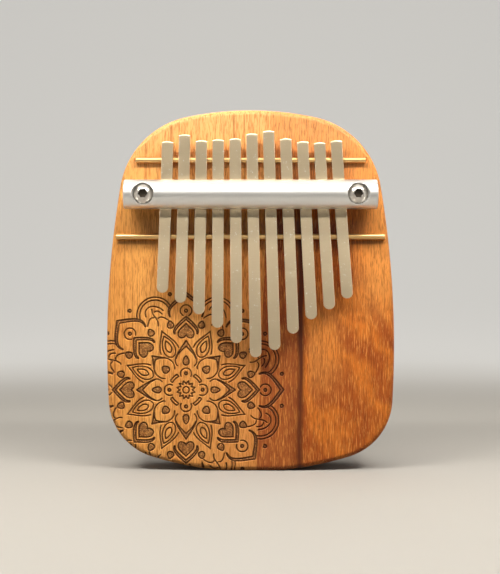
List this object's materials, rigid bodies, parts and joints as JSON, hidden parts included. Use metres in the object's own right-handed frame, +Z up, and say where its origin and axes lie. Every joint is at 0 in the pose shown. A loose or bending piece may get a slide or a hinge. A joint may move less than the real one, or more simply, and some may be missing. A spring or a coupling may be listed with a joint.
{
  "type": "kalimba",
  "caption": "Kalimba: a rounded wooden sound body glued up from golden and reddish planks, with steel tines of graded length clamped over brass rods by a round metal bar.",
  "frame": {"origin": "middle of the flat at the body's lower edge that it stands on, half way through the body's depth", "axes": "+Z up the body towards the tines' tails, front with the tines facing -Y, +X to the right as seen from the front"},
  "size_m": [0.15, 0.052, 0.188],
  "materials": {
    "golden_wood": "oiled, satin",
    "red_wood": "oiled, satin",
    "back_wood": "oiled, satin",
    "brass": "bright drawn",
    "screw_steel": "bright",
    "bar_aluminium": "satin",
    "tine_steel": "ground, satin"
  },
  "bodies": {
    "sound_body": {"left_plank": "golden_wood", "right_plank": "red_wood", "back_plate": "back_wood", "left_insert": "brass", "right_insert": "brass", "left_screw": "screw_steel", "right_screw": "screw_steel", "clamp_bar": "bar_aluminium", "upper_rod": "brass", "bridge_rod": "brass"},
    "tine_01_root": {"tine_01_root": "tine_steel"},
    "tine_01_blade": {"tine_01_blade": "tine_steel"},
    "tine_02_root": {"tine_02_root": "tine_steel"},
    "tine_02_blade": {"tine_02_blade": "tine_steel"},
    "tine_03_root": {"tine_03_root": "tine_steel"},
    "tine_03_blade": {"tine_03_blade": "tine_steel"},
    "tine_04_root": {"tine_04_root": "tine_steel"},
    "tine_04_blade": {"tine_04_blade": "tine_steel"},
    "tine_05_root": {"tine_05_root": "tine_steel"},
    "tine_05_blade": {"tine_05_blade": "tine_steel"},
    "tine_06_root": {"tine_06_root": "tine_steel"},
    "tine_06_blade": {"tine_06_blade": "tine_steel"},
    "tine_07_root": {"tine_07_root": "tine_steel"},
    "tine_07_blade": {"tine_07_blade": "tine_steel"},
    "tine_08_root": {"tine_08_root": "tine_steel"},
    "tine_08_blade": {"tine_08_blade": "tine_steel"},
    "tine_09_root": {"tine_09_root": "tine_steel"},
    "tine_09_blade": {"tine_09_blade": "tine_steel"},
    "tine_10_root": {"tine_10_root": "tine_steel"},
    "tine_10_blade": {"tine_10_blade": "tine_steel"},
    "tine_11_root": {"tine_11_root": "tine_steel"},
    "tine_11_blade": {"tine_11_blade": "tine_steel"}
  },
  "joints": [
    {"name": "tine_01_tuning_slide", "type": "slide", "parent": "sound_body", "child": "tine_01_root", "axis": [0.0349, 0, 0.9994], "range_m": [-0.001, 0.001]},
    {"name": "tine_01_flex", "type": "hinge", "parent": "tine_01_root", "child": "tine_01_blade", "pos_m": [-0.04452, -0.0204, 0.12181], "axis": [0.9994, 0, -0.0349], "range_deg": [-3, 3], "stiffness_Nm_per_rad": 6.79},
    {"name": "tine_02_tuning_slide", "type": "slide", "parent": "sound_body", "child": "tine_02_root", "axis": [0.0244, 0, 0.9997], "range_m": [-0.001, 0.001]},
    {"name": "tine_02_flex", "type": "hinge", "parent": "tine_02_root", "child": "tine_02_blade", "pos_m": [-0.0353, -0.0204, 0.12181], "axis": [0.9997, 0, -0.0244], "range_deg": [-3, 3], "stiffness_Nm_per_rad": 5.87},
    {"name": "tine_03_tuning_slide", "type": "slide", "parent": "sound_body", "child": "tine_03_root", "axis": [0.014, 0, 0.9999], "range_m": [-0.001, 0.001]},
    {"name": "tine_03_flex", "type": "hinge", "parent": "tine_03_root", "child": "tine_03_blade", "pos_m": [-0.02608, -0.0204, 0.1218], "axis": [0.9999, 0, -0.014], "range_deg": [-3, 3], "stiffness_Nm_per_rad": 5.08},
    {"name": "tine_04_tuning_slide", "type": "slide", "parent": "sound_body", "child": "tine_04_root", "axis": [0.0035, 0, 1], "range_m": [-0.001, 0.001]},
    {"name": "tine_04_flex", "type": "hinge", "parent": "tine_04_root", "child": "tine_04_blade", "pos_m": [-0.01687, -0.0204, 0.1218], "axis": [1, 0, -0.0035], "range_deg": [-3, 3], "stiffness_Nm_per_rad": 4.4},
    {"name": "tine_05_tuning_slide", "type": "slide", "parent": "sound_body", "child": "tine_05_root", "axis": [-0.007, 0, 1], "range_m": [-0.001, 0.001]},
    {"name": "tine_05_flex", "type": "hinge", "parent": "tine_05_root", "child": "tine_05_blade", "pos_m": [-0.00765, -0.0204, 0.1218], "axis": [1, 0, 0.007], "range_deg": [-3, 3], "stiffness_Nm_per_rad": 3.81},
    {"name": "tine_06_tuning_slide", "type": "slide", "parent": "sound_body", "child": "tine_06_root", "axis": [-0.0175, 0, 0.9998], "range_m": [-0.001, 0.001]},
    {"name": "tine_06_flex", "type": "hinge", "parent": "tine_06_root", "child": "tine_06_blade", "pos_m": [0.00157, -0.0204, 0.1218], "axis": [0.9998, 0, 0.0175], "range_deg": [-3, 3], "stiffness_Nm_per_rad": 3.39},
    {"name": "tine_07_tuning_slide", "type": "slide", "parent": "sound_body", "child": "tine_07_root", "axis": [-0.0279, 0, 0.9996], "range_m": [-0.001, 0.001]},
    {"name": "tine_07_flex", "type": "hinge", "parent": "tine_07_root", "child": "tine_07_blade", "pos_m": [0.01079, -0.0204, 0.12181], "axis": [0.9996, 0, 0.0279], "range_deg": [-3, 3], "stiffness_Nm_per_rad": 3.6},
    {"name": "tine_08_tuning_slide", "type": "slide", "parent": "sound_body", "child": "tine_08_root", "axis": [-0.0384, 0, 0.9993], "range_m": [-0.001, 0.001]},
    {"name": "tine_08_flex", "type": "hinge", "parent": "tine_08_root", "child": "tine_08_blade", "pos_m": [0.02, -0.0204, 0.12182], "axis": [0.9993, 0, 0.0384], "range_deg": [-3, 3], "stiffness_Nm_per_rad": 4.15},
    {"name": "tine_09_tuning_slide", "type": "slide", "parent": "sound_body", "child": "tine_09_root", "axis": [-0.0489, 0, 0.9988], "range_m": [-0.001, 0.001]},
    {"name": "tine_09_flex", "type": "hinge", "parent": "tine_09_root", "child": "tine_09_blade", "pos_m": [0.02922, -0.0204, 0.12183], "axis": [0.9988, 0, 0.0489], "range_deg": [-3, 3], "stiffness_Nm_per_rad": 4.8},
    {"name": "tine_10_tuning_slide", "type": "slide", "parent": "sound_body", "child": "tine_10_root", "axis": [-0.0593, 0, 0.9982], "range_m": [-0.001, 0.001]},
    {"name": "tine_10_flex", "type": "hinge", "parent": "tine_10_root", "child": "tine_10_blade", "pos_m": [0.03844, -0.0204, 0.12184], "axis": [0.9982, 0, 0.0593], "range_deg": [-3, 3], "stiffness_Nm_per_rad": 5.39},
    {"name": "tine_11_tuning_slide", "type": "slide", "parent": "sound_body", "child": "tine_11_root", "axis": [-0.0698, 0, 0.9976], "range_m": [-0.001, 0.001]},
    {"name": "tine_11_flex", "type": "hinge", "parent": "tine_11_root", "child": "tine_11_blade", "pos_m": [0.04766, -0.0204, 0.12185], "axis": [0.9976, 0, 0.0698], "range_deg": [-3, 3], "stiffness_Nm_per_rad": 6.22}
  ]
}
